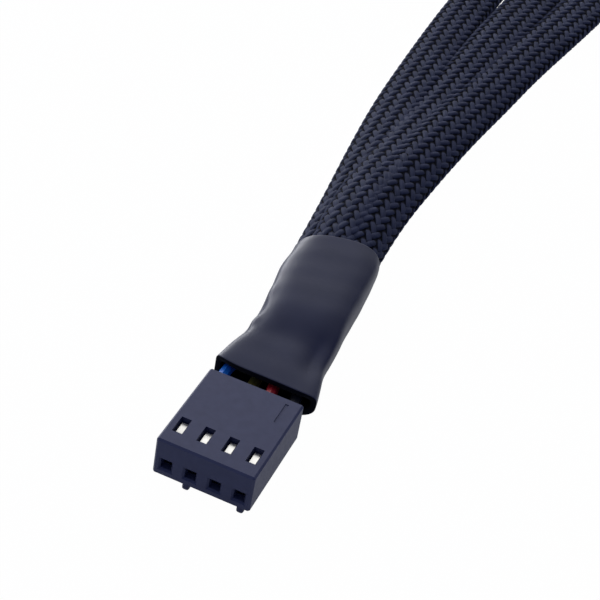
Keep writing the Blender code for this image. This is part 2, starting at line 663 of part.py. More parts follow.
def add_strap(parts, paint):
    """A flat loop round three folded branches, lofted as a band and thickened outwards."""
    inner = BRANCH_RADIUS + STRAP_FIT
    centre = TABLE + STRAP_THICKNESS + inner
    half = STRAP_SPAN / 2
    outline = []
    for side in (1, -1):
        for n in range(9):
            turn = math.radians(-90 + 22.5 * n)
            outline.append((side * (half + inner * math.cos(turn)), side * inner * math.sin(turn)))
    shape = bmesh.new()
    loops = []
    for edge in (-STRAP_WIDTH / 2, STRAP_WIDTH / 2):
        y = BOOT_START + STRAP_PLACE[1] + edge
        loops.append([shape.verts.new((STRAP_PLACE[0] + x, y, centre + z)) for x, z in outline])
    for n in range(len(outline)):
        m = (n + 1) % len(outline)
        shape.faces.new((loops[0][n], loops[0][m], loops[1][m], loops[1][n]))
    bmesh.ops.recalc_face_normals(shape, faces=shape.faces)
    item = place_object("tie_strap", finish_mesh("tie_strap", shape), parts, paint["strap"])
    wall = item.modifiers.new("wall", "SOLIDIFY")
    wall.thickness = STRAP_THICKNESS
    wall.offset = 1.0
    wall.use_even_offset = True


def main():
    clear_scene()
    parts = new_collection("fan_splitter_cable")
    tools = new_collection("cutters")
    paint = {name: make_material(name) for name in COLOURS}
    add_socket_housing(parts, tools, paint)
    add_contacts(parts, tools, paint)
    add_leads(parts, paint)
    add_splices(parts, tools, paint)
    add_splitter_boot(parts, paint)
    add_branches(parts, tools, paint)
    add_strap(parts, paint)


main()
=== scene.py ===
"""Looks of the fan splitter cable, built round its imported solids. Metres, +Z up."""
import math

import bmesh
import bpy
import numpy as np
from mathutils import Matrix, Vector


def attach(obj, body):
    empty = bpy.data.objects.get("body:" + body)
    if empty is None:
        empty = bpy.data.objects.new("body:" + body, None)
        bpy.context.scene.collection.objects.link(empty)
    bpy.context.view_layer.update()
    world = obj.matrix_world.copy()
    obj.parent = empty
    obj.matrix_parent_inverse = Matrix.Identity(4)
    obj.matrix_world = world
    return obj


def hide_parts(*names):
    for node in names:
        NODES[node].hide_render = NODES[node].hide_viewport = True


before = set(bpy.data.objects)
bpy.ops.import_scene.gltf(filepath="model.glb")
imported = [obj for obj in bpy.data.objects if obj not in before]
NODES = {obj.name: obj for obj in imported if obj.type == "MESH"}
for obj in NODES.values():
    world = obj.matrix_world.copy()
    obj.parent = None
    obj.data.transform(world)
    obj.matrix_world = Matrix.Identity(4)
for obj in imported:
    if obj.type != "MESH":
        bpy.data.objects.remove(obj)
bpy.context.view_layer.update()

# Places that the solids share with this scene
TABLE = -0.00325
BOOT_START = 0.0139

# What each branch ends in: the circuits that have a pin, and the wires into the plug
PLUG_PINS = ((1, 2, 3, 4), (1, 2, 4), (1, 2, 4))
PLUG_WIRES = (
    ("red", "yellow", "blue", "black"),
    ("red", "blue", "black"),
    ("red", "blue", "black"),
)
# The second branch's list of pieces also takes the strap
STRAPPED_BRANCH = 1

# Camera, from the corners of the socket in the photograph; angles in degrees, lens in mm
CAMERA_EYE = (0.0329, -0.0938, 0.09965)
CAMERA_AZIMUTH = 16.04
CAMERA_ELEVATION = 37.85
CAMERA_ROLL = 11.26
CAMERA_LENS = 90.0
CAMERA_SENSOR = 36.0
CAMERA_NEAR = 0.005

# Lamps: name, place, diameter, watts
LAMPS = (
    ("key", (-0.42, 0.14, 0.30), 0.40, 1.1),
    ("back", (-0.10, 0.62, 0.46), 0.50, 0.3),
    ("edge", (-0.37, 0.40, 0.08), 0.26, 1.4),
)
LAMP_TARGET = (0.0, 0.05, 0.0)
# A white tent toward one direction, and the dim room on the other side
TENT_TOWARD = (-0.40, 0.60, 0.69)
TENT_COLOUR = (0.77, 0.785, 0.89, 1.0)
ROOM_COLOUR = (0.09, 0.135, 0.33, 1.0)
# The floor, and the share of plain white that the camera and reflections see of it
FLOOR_CENTRE = (0, 0.06, TABLE)
FLOOR_HALF = 0.6
FLOOR_COLOUR = (0.50, 0.54, 0.64, 1.0)
FLOOR_SEEN = 0.99
FLOOR_MIRRORED = 0.58

# Darker and lighter colour of each finish, as display values of 0 to 255
HOUSING_COLOURS = ((53, 56, 78), (58, 61, 84))
SHRINK_COLOURS = ((24, 27, 49), (28, 31, 54))
STRAND_COLOURS = ((43, 47, 64), (57, 61, 79))
# The core's near-black is painted shade, for the dark inside seen between the strands and on the
# boot's cut faces and inner wall
SHADE_CORE_COLOURS = ((3, 5, 14), (6, 9, 20))
STRAP_COLOURS = ((22, 22, 26), (42, 42, 48))
# The yellow is the wire's own colour darkened toward olive: painted shade for where it lies under
# the boot's rim
WIRE_COLOURS = {
    "black": (30, 30, 34), "red": (156, 22, 32), "yellow": (90, 82, 32), "blue": (16, 104, 192),
}
WIRE_LIGHTER = 1.25
# Linear colours: tin plate, the sheen of the heat-shrink, and painted shade on the strands: dark
# where a strand dives under the others, fading as it comes up
TIN_COLOURS = ((0.62, 0.61, 0.58), (0.82, 0.81, 0.78))
SHRINK_SHEEN = (0.78, 0.83, 1.0, 1.0)
STRAND_PAINTED_SHADE = ((0.43, (0.04, 0.045, 0.07)), (0.73, (1.0, 1.0, 1.0)))
# Finish of each solid that stays as it is, by the first of these words in its node's name
NODE_FINISHES = {
    "housing": "housing", "contact": "metal", "pin": "metal", "splice": "metal",
    "collar": "shrink", "splitter_boot": "shrink", "strap": "strap",
    "black": "black", "red": "red", "yellow": "yellow", "blue": "blue",
}

# Routes of the braided branches: x, distance from the boot's mouth, height over the table
BRANCH_ROUTES = (
    (
        (-0.0030, 0.0140, 0.0028), (-0.0037, 0.0190, 0.0026), (-0.0042, 0.0240, 0.0024),
        (-0.0047, 0.0300, 0.0022), (-0.0056, 0.0390, 0.0021), (-0.0068, 0.0500, 0.00205),
        (-0.0079, 0.0620, 0.00205), (-0.0085, 0.0740, 0.00205), (-0.0089, 0.0860, 0.00205),
        (-0.0091, 0.1000, 0.00205), (-0.0088, 0.1170, 0.00205), (-0.0080, 0.1320, 0.00205),
        (-0.0040, 0.1474, 0.00205), (0.0064, 0.1580, 0.00205), (0.0206, 0.1618, 0.00205),
        (0.0348, 0.1580, 0.00205), (0.0452, 0.1476, 0.0022), (0.0488, 0.1340, 0.0032),
        (0.0490, 0.1270, 0.0035), (0.0492, 0.1210, 0.0034), (0.0503, 0.1155, 0.0031),
        (0.0530, 0.1095, 0.0028), (0.0544, 0.1045, 0.0028), (0.0545, 0.1000, 0.0028),
        (0.0545, 0.0960, 0.0028), (0.0545, 0.0920, 0.0028),
    ),
    (
        (-0.0012, 0.0140, 0.0042), (-0.0019, 0.0190, 0.0044), (-0.0027, 0.0240, 0.0047),
        (-0.0036, 0.0300, 0.0050), (-0.0042, 0.0380, 0.0047), (-0.0042, 0.0480, 0.0040),
        (-0.0037, 0.0600, 0.0028), (-0.0031, 0.0700, 0.00215), (-0.0027, 0.0800, 0.00205),
        (-0.0022, 0.0950, 0.00205), (-0.0014, 0.1100, 0.00205), (-0.0006, 0.1240, 0.00205),
        (0.0002, 0.1350, 0.00205), (0.0036, 0.1453, 0.00205), (0.0108, 0.1526, 0.00205),
        (0.0208, 0.1552, 0.00205), (0.0308, 0.1524, 0.00205), (0.0380, 0.1450, 0.00215),
        (0.0408, 0.1340, 0.0032), (0.0412, 0.1270, 0.0035), (0.0413, 0.1210, 0.0034),
        (0.0417, 0.1150, 0.0028), (0.0428, 0.1060, 0.0021), (0.0441, 0.0960, 0.0021),
        (0.0449, 0.0880, 0.0026), (0.0452, 0.0830, 0.0028), (0.0452, 0.0785, 0.0028),
        (0.0452, 0.0740, 0.0028), (0.0452, 0.0700, 0.0028),
    ),
    (
        (0.0010, 0.0140, 0.0032), (0.0005, 0.0190, 0.0034), (0.0000, 0.0240, 0.0036),
        (-0.0005, 0.0300, 0.0038), (-0.0008, 0.0380, 0.0037), (-0.0006, 0.0480, 0.0034),
        (0.0002, 0.0620, 0.0026), (0.0012, 0.0730, 0.0021), (0.0024, 0.0840, 0.00205),
        (0.0041, 0.0960, 0.00205), (0.0059, 0.1090, 0.00205), (0.0072, 0.1220, 0.00205),
        (0.0078, 0.1340, 0.00205), (0.0097, 0.1411, 0.00205), (0.0146, 0.1463, 0.00205),
        (0.0212, 0.1482, 0.00205), (0.0278, 0.1462, 0.00205), (0.0322, 0.1410, 0.0024),
        (0.0333, 0.1340, 0.0032), (0.0334, 0.1270, 0.0035), (0.0334, 0.1210, 0.0034),
        (0.0335, 0.1150, 0.0028), (0.0340, 0.1050, 0.0021), (0.0348, 0.0910, 0.00205),
        (0.0355, 0.0790, 0.00205), (0.0359, 0.0700, 0.0025), (0.0360, 0.0640, 0.0028),
        (0.0360, 0.0595, 0.0028), (0.0360, 0.0550, 0.0028), (0.0360, 0.0510, 0.0028),
    ),
)

# Section of each sleeve against the distance along its route: distance, shift to the right,
# shift up, half width, half height, tilt in degrees. Relaxed is the section of a free sleeve.
RELAXED = (0.0, -0.00066, 0.00325, 0.00118, 0.0)
BRANCH_SHAPES = (
    (
        (0.0000, -0.0006, -0.0004, 0.00205, 0.00140, 12),
        (0.0105, -0.0005, -0.0003, 0.00230, 0.00145, 18),
        (0.0170, -0.0004, 0.0000, 0.00260, 0.00140, 23),
        (0.0320, -0.0002, 0.0001, 0.00295, 0.00130, 19),
        (0.0480, 0.0, -0.0003, 0.00322, 0.00120, 10),
        (0.0700, *RELAXED),
    ),
    (
        (0.0000, -0.0002, -0.0002, 0.00190, 0.00130, 0),
        (0.0105, 0.0000, -0.0003, 0.00215, 0.00130, 4),
        (0.0170, 0.0002, -0.0007, 0.00250, 0.00130, 7),
        (0.0320, 0.0004, -0.0009, 0.00280, 0.00125, 6),
        (0.0470, 0.0002, -0.0005, 0.00315, 0.00118, 2),
        (0.0620, 0.0, -0.0003, 0.00335, 0.00112, -2),
        (0.0770, 0.0, -0.0005, 0.00345, 0.00108, -2),
        (0.0870, 0.0002, -0.0007, 0.00360, 0.00100, 0),
        (0.0990, 0.0003, -0.0009, 0.00375, 0.00095, 0),
        (0.1300, *RELAXED),
    ),
    (
        (0.0000, 0.0000, -0.0003, 0.00230, 0.00160, -20),
        (0.0105, 0.0000, -0.0004, 0.00265, 0.00160, -22),
        (0.0170, 0.0000, -0.0004, 0.00290, 0.00150, -26),
        (0.0320, 0.0000, -0.0006, 0.00315, 0.00130, -22),
        (0.0470, 0.0000, -0.0004, 0.00325, 0.00122, -15),
        (0.0620, 0.0000, -0.0005, 0.00330, 0.00118, -9),
        (0.0770, -0.0001, -0.0007, 0.00335, 0.00115, -4),
        (0.0870, -0.0001, -0.0008, 0.00340, 0.00110, 0),
        (0.0990, -0.0002, -0.0009, 0.00350, 0.00105, 0),
        (0.1300, *RELAXED),
    ),
)
# Stations over which a section eases from one row to the next
EASE_STATIONS = 25
# The round end under the collar, and the length over which a sleeve becomes round
COLLAR_REACH = 0.0105
COLLAR_EASE = 0.0150
COLLAR_RADIUS = 0.00200
# Steps between two points of a route, points round a section, its squareness, and the share
# of the way round that gives the slope of its surface
ROUTE_STEPS = 60
SECTION_SAMPLES = 128
SECTION_POWER = 2.3
SLOPE_SHARE = 0.004

# The braid: half the carriers turn each way, and each float passes over two others
CARRIERS = 32
BRAID_LEAD = 0.0296
STRAND_WIDTH = 0.00064
STRAND_SWELL = 0.15
STRAND_THICKNESS = 0.00018
STRAND_LIFT = 0.00014
STRAND_STEP = 0.00040
STRAND_FILAMENTS = 8
# How a strand rises and dives: lean of the floats, steepness, and offset of the wave
FLOAT_LEAN = -0.33
FLOAT_STEEPNESS = 1.4
FLOAT_OFFSET = -0.1
CORE_DEPTH = 0.00003
CORE_SIDES = 56
CORE_STEP = 0.00110
# Section of a strand: place across against its half width, height against its thickness
STRAND_PROFILE = ((-1.0, -0.65), (-0.74, 0.30), (0.0, 0.45), (0.74, 0.30), (1.0, -0.65))

# Heat-shrink boot: distance from its mouth, centre x, centre height, half width, half height,
# skew in degrees, squareness, how far the sides of the cut lie back
BOOT_ROWS = (
    (0.0000, -0.0001, 0.0033, 0.00560, 0.00175, 0, 8.0, 0.0007),
    (0.0030, -0.0002, 0.0033, 0.00518, 0.00185, 0, 6.5, 0.0004),
    (0.0066, -0.0003, 0.0033, 0.00470, 0.00205, 0, 3.8, 0.0),
    (0.0093, -0.0004, 0.00335, 0.00462, 0.00253, 1, 3.1, 0.0),
    (0.0125, -0.0007, 0.0034, 0.00466, 0.00276, 2, 3.3, 0.0),
    (0.0170, -0.0011, 0.0034, 0.00480, 0.00286, 6, 3.4, 0.0),
    (0.0220, -0.0015, 0.0034, 0.00480, 0.00299, 10, 3.1, 0.0),
    (0.0245, -0.0017, 0.0034, 0.00475, 0.00306, 15, 2.7, -0.0006),
)
# Dents and ridges: distance, turn in degrees from the right over the top, spread along,
# spread round, height
BOOT_MARKS = (
    (0.0062, 45, 0.0026, 18, -0.00072),
    (0.0046, 60, 0.0020, 13, -0.00026),
    (0.0079, 80, 0.0015, 16, -0.00024),
    (0.0052, 12, 0.0013, 22, -0.00012),
    (0.0077, 149, 0.0008, 9, 0.00026),
    (0.0060, 152, 0.0006, 9, -0.00012),
    (0.0126, 148, 0.0012, 9, 0.00016),
    (0.0165, 146, 0.0028, 10, 0.00010),
    (0.0212, 144, 0.0022, 11, 0.00008),
    (0.0102, 154, 0.0007, 8, -0.00014),
    (0.0183, 162, 0.0012, 12, 0.00014),
    (0.0222, 20, 0.0014, 16, 0.00014),
    (0.0020, 110, 0.0020, 30, 0.00006),
)
# Fine unevenness of the boot: height, radians for each metre along, waves round, phase
BOOT_RIPPLES = ((0.00001, 1900, 3, 0.0), (0.00002, 700, -2, 1.0))
BOOT_SIDES = 120
BOOT_STATIONS = 90
# Wall of the boot, the shares of it where the cut is rounded, and how far the cut stands out
BOOT_WALL = 0.00062
CUT_SHARES = (0.08, 0.5, 0.92)
BOOT_CUT = np.array([0.00005, 0, 0, 0, 0, 0, 0, 0])
# The right side of the boot is never squarer than this; the cut's sides lie back by this power
RIGHT_SQUARENESS = 3.3
BOW_POWER = 4


def linear(colour):
    """Linear light from the display values of a colour, 0 to 255, by the sRGB curve."""
    return tuple(
        ((c / 255 + 0.055) / 1.055) ** 2.4 if c > 10 else c / 255 / 12.92 for c in colour)


class Nodes:
    """A small builder for one node tree."""

    def __init__(self, tree):
        self.tree = tree

    def add(self, kind, **settings):
        """A node with its settings; those that begin with in_ are values of its inputs."""
        node = self.tree.nodes.new(kind)
        for key, value in settings.items():
            if key.startswith("in_"):
                node.inputs[key[3:].replace("_", " ")].default_value = value
            else:
                setattr(node, key, value)
        return node

    def link(self, source, target):
        self.tree.links.new(source, target)

    def maths(self, operation, *values):
        """The output of a math node on sockets and numbers."""
        node = self.add("ShaderNodeMath", operation=operation)
        for entry, value in zip(node.inputs, values):
            if isinstance(value, float):
                entry.default_value = value
            else:
                self.link(value, entry)
        return node.outputs["Value"]


class Paint(Nodes):
    """The nodes of one material, round its shader."""

    def __init__(self, name):
        self.material = bpy.data.materials.new(name)
        self.material.use_nodes = True
        super().__init__(self.material.node_tree)
        self.shader = self.tree.nodes["Principled BSDF"]

    def set(self, **values):
        """Plain values on the shader's own inputs."""
        for key, value in values.items():
            self.shader.inputs[key.replace("_", " ")].default_value = value

    def noise(self, scale, detail=3.0):
        """Grey noise in the piece's own space."""
        place = self.add("ShaderNodeTexCoord")
        node = self.add("ShaderNodeTexNoise", in_Scale=scale, in_Detail=detail)
        self.link(place.outputs["Object"], node.inputs["Vector"])
        return node.outputs["Fac"]

    def ramp(self, source, stops):
        """Colour between two stops, each a place and a linear colour."""
        node = self.add("ShaderNodeValToRGB")
        for element, (place, colour) in zip(node.color_ramp.elements, stops):
            element.position = place
            element.color = (*colour, 1.0)
        self.link(source, node.inputs["Fac"])
        return node.outputs["Color"]

    def cloud(self, colours, scale, detail=3.0, edge=0.3):
        """A soft cloud of two linear colours; they are plain outside the edges."""
        return self.ramp(self.noise(scale, detail), zip((edge, 1 - edge), colours))

    def span(self, source, low, high):
        """The source's 0 to 1, clamped, as low to high."""
        node = self.add("ShaderNodeMapRange", in_To_Min=low, in_To_Max=high)
        self.link(source, node.inputs["Value"])
        return node.outputs["Result"]

    def colour(self, source):
        self.link(source, self.shader.inputs["Base Color"])

    def roughness(self, scale, low, high):
        """Uneven roughness between two values."""
        self.link(self.span(self.noise(scale), low, high), self.shader.inputs["Roughness"])

    def bump(self, source, distance, strength):
        node = self.add("ShaderNodeBump", in_Strength=strength, in_Distance=distance)
        self.link(source, node.inputs["Height"])
        self.link(node.outputs["Normal"], self.shader.inputs["Normal"])


def housing_paint():
    paint = Paint("moulded_nylon")
    paint.colour(paint.cloud(map(linear, HOUSING_COLOURS), scale=900, detail=4))
    paint.roughness(scale=2500, low=0.42, high=0.58)
    paint.bump(paint.noise(scale=9000, detail=2), distance=0.00001, strength=0.5)
    paint.set(Specular_IOR_Level=0.2)
    return paint.material


def metal_paint():
    paint = Paint("tin_plate")
    paint.colour(paint.cloud(TIN_COLOURS, scale=1500))
    paint.roughness(scale=3000, low=0.22, high=0.36)
    paint.set(Metallic=1.0)
    return paint.material


def shrink_paint():
    paint = Paint("heat_shrink")
    paint.colour(paint.cloud(map(linear, SHRINK_COLOURS), scale=260))
    paint.roughness(scale=900, low=0.37, high=0.45)
    paint.bump(paint.noise(scale=1400, detail=4), distance=0.00002, strength=0.4)
    paint.set(Specular_IOR_Level=0.22, Specular_Tint=SHRINK_SHEEN)
    return paint.material


def wire_paint(name, colour):
    paint = Paint(name)
    lighter = tuple(min(1.0, c * WIRE_LIGHTER) for c in colour)
    paint.colour(paint.cloud((colour, lighter), scale=700, edge=0.35))
    paint.roughness(scale=1200, low=0.28, high=0.40)
    return paint.material


def strand_paint():
    """Filaments side by side in each strand, with painted shade where it dives under the others.
    """
    paint = Paint("braid_strand")
    place = paint.add("ShaderNodeTexCoord")
    split = paint.add("ShaderNodeSeparateXYZ")
    paint.link(place.outputs["UV"], split.inputs["Vector"])
    ridge = paint.maths("COSINE", paint.maths("MULTIPLY", split.outputs["X"], 2 * math.pi))
    top = paint.cloud(map(linear, STRAND_COLOURS), scale=420, detail=4)
    # Painted shade: the strand's colour is darkened where it dives under the others and lightens
    # as it comes up
    dive_shade = paint.ramp(split.outputs["Y"], STRAND_PAINTED_SHADE)
    mix = paint.add("ShaderNodeMix", data_type="RGBA", blend_type="MULTIPLY", in_Factor=1.0)
    paint.link(top, mix.inputs["A"])
    paint.link(dive_shade, mix.inputs["B"])
    paint.colour(mix.outputs["Result"])
    paint.roughness(scale=1600, low=0.60, high=0.75)
    paint.bump(paint.span(ridge, low=1.0, high=0.0), distance=0.00006, strength=0.6)
    paint.set(Specular_IOR_Level=0.06)
    return paint.material


def shade_core_paint():
    # Near-black painted shade for the inside of the braid and of the boot
    paint = Paint("braid_core_painted_shade")
    paint.colour(paint.cloud(map(linear, SHADE_CORE_COLOURS), scale=900))
    paint.set(Roughness=0.9, Specular_IOR_Level=0.1)
    return paint.material


def strap_paint():
    paint = Paint("woven_strap")
    place = paint.add("ShaderNodeTexCoord")
    weave = paint.add("ShaderNodeTexWave", in_Scale=900.0, in_Distortion=1.0)
    paint.link(place.outputs["Object"], weave.inputs["Vector"])
    paint.colour(paint.ramp(weave.outputs["Fac"], zip((0.2, 0.8), map(linear, STRAP_COLOURS))))
    paint.bump(weave.outputs["Fac"], distance=0.0001, strength=0.6)
    paint.set(Roughness=0.85)
    return paint.material


def floor_paint():
    """Almost plain white for the camera, dimmer in reflections, and matt for all else."""
    paint = Paint("floor")
    paint.set(Base_Color=FLOOR_COLOUR, Roughness=0.8)
    light = paint.add("ShaderNodeEmission", in_Color=(1, 1, 1, 1))
    path = paint.add("ShaderNodeLightPath")
    seen = paint.maths("MULTIPLY", path.outputs["Is Camera Ray"], FLOOR_SEEN)
    share = paint.maths("MULTIPLY_ADD", path.outputs["Is Glossy Ray"], FLOOR_MIRRORED, seen)
    mix = paint.add("ShaderNodeMixShader")
    paint.link(share, mix.inputs["Fac"])
    paint.link(paint.shader.outputs["BSDF"], mix.inputs[1])
    paint.link(light.outputs["Emission"], mix.inputs[2])
    paint.link(mix.outputs["Shader"], paint.tree.nodes["Material Output"].inputs["Surface"])
    return paint.material


def camera_turn():
    """Matrix with the right, up and back of the camera in the row frame as its columns."""
    azimuth, elevation, roll = (
        math.radians(angle) for angle in (CAMERA_AZIMUTH, CAMERA_ELEVATION, CAMERA_ROLL))
    back = Vector((
        math.sin(azimuth) * math.cos(elevation), -math.cos(azimuth) * math.cos(elevation),
        math.sin(elevation)))
    right = Vector((0, 0, 1)).cross(back).normalized()
    up = back.cross(right)
    turned_right = right * math.cos(roll) + up * math.sin(roll)
    turned_up = up * math.cos(roll) - right * math.sin(roll)
    return Matrix((turned_right, turned_up, back)).transposed()


def add_camera():
    data = bpy.data.cameras.new("camera")
    data.lens = CAMERA_LENS
    data.sensor_width = CAMERA_SENSOR
    data.clip_start = CAMERA_NEAR
    item = bpy.data.objects.new("camera", data)
    bpy.context.scene.collection.objects.link(item)
    item.matrix_world = Matrix.Translation(CAMERA_EYE) @ camera_turn().to_4x4()
    bpy.context.scene.camera = item


def add_lamp(name, place, size, power):
    """A round area lamp that the camera doesn't see."""
    data = bpy.data.lights.new(name, "AREA")
    data.shape = "DISK"
    data.size = size
    data.energy = power
    item = bpy.data.objects.new(name, data)
    bpy.context.scene.collection.objects.link(item)
    item.location = place
    toward = Vector(LAMP_TARGET) - Vector(place)
    item.rotation_euler = toward.to_track_quat("-Z", "Y").to_euler()
    item.visible_camera = False


def add_world():
    """A white tent over and behind the object, dim and bluish in front; white for the camera."""
    world = bpy.data.worlds.new("studio")
    bpy.context.scene.world = world
    world.use_nodes = True
    room = Nodes(world.node_tree)
    place = room.add("ShaderNodeTexCoord")
    toward = room.add("ShaderNodeVectorMath", operation="DOT_PRODUCT")
    toward.inputs[1].default_value = Vector(TENT_TOWARD).normalized()
    room.link(place.outputs["Generated"], toward.inputs[0])
    tent = room.add("ShaderNodeMapRange", interpolation_type="SMOOTHSTEP")
    room.link(toward.outputs["Value"], tent.inputs["Value"])
    path = room.add("ShaderNodeLightPath")
    through = room.maths(
        "MAXIMUM", path.outputs["Is Camera Ray"], path.outputs["Is Transmission Ray"])
    mirrored = room.maths("MULTIPLY", path.outputs["Is Glossy Ray"], tent.outputs["Result"])
    light = room.add("ShaderNodeMix", data_type="RGBA", in_A=ROOM_COLOUR, in_B=TENT_COLOUR)
    room.link(tent.outputs["Result"], light.inputs["Factor"])
    white = room.add("ShaderNodeMix", data_type="RGBA", in_B=(1.0, 1.0, 1.0, 1.0))
    room.link(room.maths("MAXIMUM", through, mirrored), white.inputs["Factor"])
    room.link(light.outputs["Result"], white.inputs["A"])
    room.link(white.outputs["Result"], world.node_tree.nodes["Background"].inputs["Color"])


def add_floor():
    grid = bmesh.new()
    bmesh.ops.create_grid(grid, x_segments=1, y_segments=1, size=FLOOR_HALF)
    mesh = bpy.data.meshes.new("floor")
    grid.to_mesh(mesh)
    grid.free()
    floor = bpy.data.objects.new("floor", mesh)
    floor.location = FLOOR_CENTRE
    floor.data.materials.append(floor_paint())
    bpy.context.scene.collection.objects.link(floor)


def natural_curve(values, places):
    """Points of the natural cubic through rows of values, at fractional row numbers."""
    values = np.asarray(values, float)
    count = len(values)
    system = np.eye(count)
    right = np.zeros_like(values)
    for n in range(1, count - 1):
        system[n, n - 1:n + 2] = (1, 4, 1)
        right[n] = 6 * (values[n - 1] - 2 * values[n] + values[n + 1])
    bend = np.linalg.solve(system, right)
    n = np.minimum(places.astype(int), count - 2)
    t = (places - n)[:, None]
    s = 1 - t
    bent = (s ** 3 - s) * bend[n] + (t ** 3 - t) * bend[n + 1]
    return s * values[n] + t * values[n + 1] + bent / 6


def even_path(route, step):
    """Points at even steps along the smooth curve through a route, and their distances."""
    world = [(x, BOOT_START + y, TABLE + z) for x, y, z in route]
    fine = natural_curve(world, np.linspace(0, len(world) - 1, ROUTE_STEPS * len(world)))
    along = np.concatenate([[0], np.cumsum(np.linalg.norm(np.diff(fine, axis=0), axis=1))])
    wanted = np.linspace(0, along[-1], int(round(along[-1] / step)) + 1)
    points = np.stack([np.interp(wanted, along, fine[:, axis]) for axis in range(3)], axis=1)
    return points, wanted


def section_table(wanted, shape):
    """Shift, size and tilt at each distance, eased between the rows of a branch's shape."""
    rows = np.array(shape)
    table = [np.interp(wanted, rows[:, 0], column) for column in rows[:, 1:].T]
    kernel = np.hanning(EASE_STATIONS)
    kernel /= kernel.sum()
    padded = [np.pad(column, EASE_STATIONS // 2, mode="edge") for column in table]
    table = np.stack([np.convolve(column, kernel, "valid") for column in padded], axis=1)
    left = wanted[-1] - wanted
    round_share = np.clip((COLLAR_REACH + COLLAR_EASE - left) / COLLAR_EASE, 0, 1)
    round_share = (round_share ** 2 * (3 - 2 * round_share))[:, None]
    goal = np.array([0, 0, COLLAR_RADIUS, COLLAR_RADIUS, 0])
    return table * (1 - round_share) + goal * round_share


def section_ring(half_wide, half_high):
    """Points of a closed superellipse, and the share of its length at each."""
    turn = np.linspace(0, 2 * math.pi, SECTION_SAMPLES + 1)
    c, s = np.cos(turn), np.sin(turn)
    x = half_wide * np.sign(c) * np.abs(c) ** (2 / SECTION_POWER)
    z = half_high * np.sign(s) * np.abs(s) ** (2 / SECTION_POWER)
    share = np.concatenate([[0], np.cumsum(np.hypot(np.diff(x), np.diff(z)))])
    return x, z, share / share[-1]


class Sleeve:
    """Maps a share of the way round and a station along a sleeve to a point and its normal."""

    def __init__(self, route, shape, step):
        self.path, self.along = even_path(route, step)
        ahead = np.gradient(self.path, axis=0)
        ahead /= np.linalg.norm(ahead, axis=1)[:, None]
        side = np.cross(ahead, (0, 0, 1))
        side /= np.linalg.norm(side, axis=1)[:, None]
        lift = np.cross(side, ahead)
        table = section_table(self.along, shape)
        tilt = np.radians(table[:, 4])[:, None]
        self.side = side * np.cos(tilt) + lift * np.sin(tilt)
        self.lift = lift * np.cos(tilt) - side * np.sin(tilt)
        self.centre = self.path + side * table[:, 0:1] + np.array([0, 0, 1]) * table[:, 1:2]
        self.rings = [section_ring(wide, high) for wide, high in table[:, 2:4]]

    def surface(self, shares, height):
        """Points at a height over the surface and its normals: a row for each station."""
        points = np.zeros((*shares.shape, 3))
        normals = np.zeros_like(points)
        for n, (x, z, share) in enumerate(self.rings):
            around = np.mod(shares[n], 1.0)
            px, pz = np.interp(around, share, x), np.interp(around, share, z)
            before, after = np.mod(around - SLOPE_SHARE, 1.0), np.mod(around + SLOPE_SHARE, 1.0)
            tx = np.interp(after, share, x) - np.interp(before, share, x)
            tz = np.interp(after, share, z) - np.interp(before, share, z)
            size = np.hypot(tx, tz)
            points[n] = self.centre[n] + px[:, None] * self.side[n] + pz[:, None] * self.lift[n]
            normals[n] = (tz / size)[:, None] * self.side[n] - (tx / size)[:, None] * self.lift[n]
        return points + normals * np.asarray(height)[..., None], normals


def ribbon_mesh(name, lines, normals, width, rise):
    """Rounded open ribbons along lines of points.

    U counts the filaments across a ribbon, and V is how high it lies.
    """
    stations, count = lines.shape[:2]
    ahead = np.gradient(lines, axis=0)
    ahead /= np.linalg.norm(ahead, axis=2)[..., None]
    across = np.cross(ahead, normals)
    across /= np.linalg.norm(across, axis=2)[..., None]
    up = np.cross(across, ahead)
    half = (width / 2)[..., None]
    rows = [lines + a * half * across + b * STRAND_THICKNESS * up for a, b in STRAND_PROFILE]
    wide = len(rows)
    verts = np.stack(rows, axis=2).transpose(1, 0, 2, 3).reshape(-1, 3)
    index = np.arange(count * stations * wide).reshape(count, stations, wide)
    quads = np.stack(
        [index[:, :-1, :-1], index[:, 1:, :-1], index[:, 1:, 1:], index[:, :-1, 1:]], axis=-1)
    step = STRAND_FILAMENTS / (wide - 1)
    place = np.arange(wide - 1) * step
    uv = np.zeros((count, stations - 1, wide - 1, 4, 2))
    uv[..., 0] = np.stack([place, place, place + step, place + step], axis=-1)
    high = (0.5 + 0.5 * rise).T
    near, far = high[:, :-1, None], high[:, 1:, None]
    uv[..., 0, 1], uv[..., 3, 1] = near, near
    uv[..., 1, 1], uv[..., 2, 1] = far, far
    mesh = bpy.data.meshes.new(name)
    mesh.from_pydata(verts.tolist(), [], quads.reshape(-1, 4).tolist())
    layer = mesh.uv_layers.new(name="across")
    layer.data.foreach_set("uv", uv.ravel())
    mesh.shade_smooth()
    return mesh


def tube_mesh(name, rings):
    """A closed tube through rings of points, with capped ends."""
    stations, count = rings.shape[:2]
    index = np.arange(stations * count).reshape(stations, count)
    ahead = np.roll(index, -1, axis=1)
    quads = np.stack([index[:-1], ahead[:-1], ahead[1:], index[1:]], axis=-1)
    caps = [index[0, ::-1].tolist(), index[-1].tolist()]
    mesh = bpy.data.meshes.new(name)
    mesh.from_pydata(rings.reshape(-1, 3).tolist(), [], quads.reshape(-1, 4).tolist() + caps)
    mesh.shade_smooth()
    return mesh


def turn_outward(mesh):
    """Turns every face's normal outward."""
    shape = bmesh.new()
    shape.from_mesh(mesh)
    bmesh.ops.recalc_face_normals(shape, faces=shape.faces)
    shape.to_mesh(mesh)
    shape.free()


def add_piece(name, mesh, slot, *materials):
    """A visible piece on the one body, with its materials; the slot is not used."""
    item = bpy.data.objects.new(name, mesh)
    bpy.context.scene.collection.objects.link(item)
    for material in materials:
        item.data.materials.append(material)
    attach(item, "root")
    return item


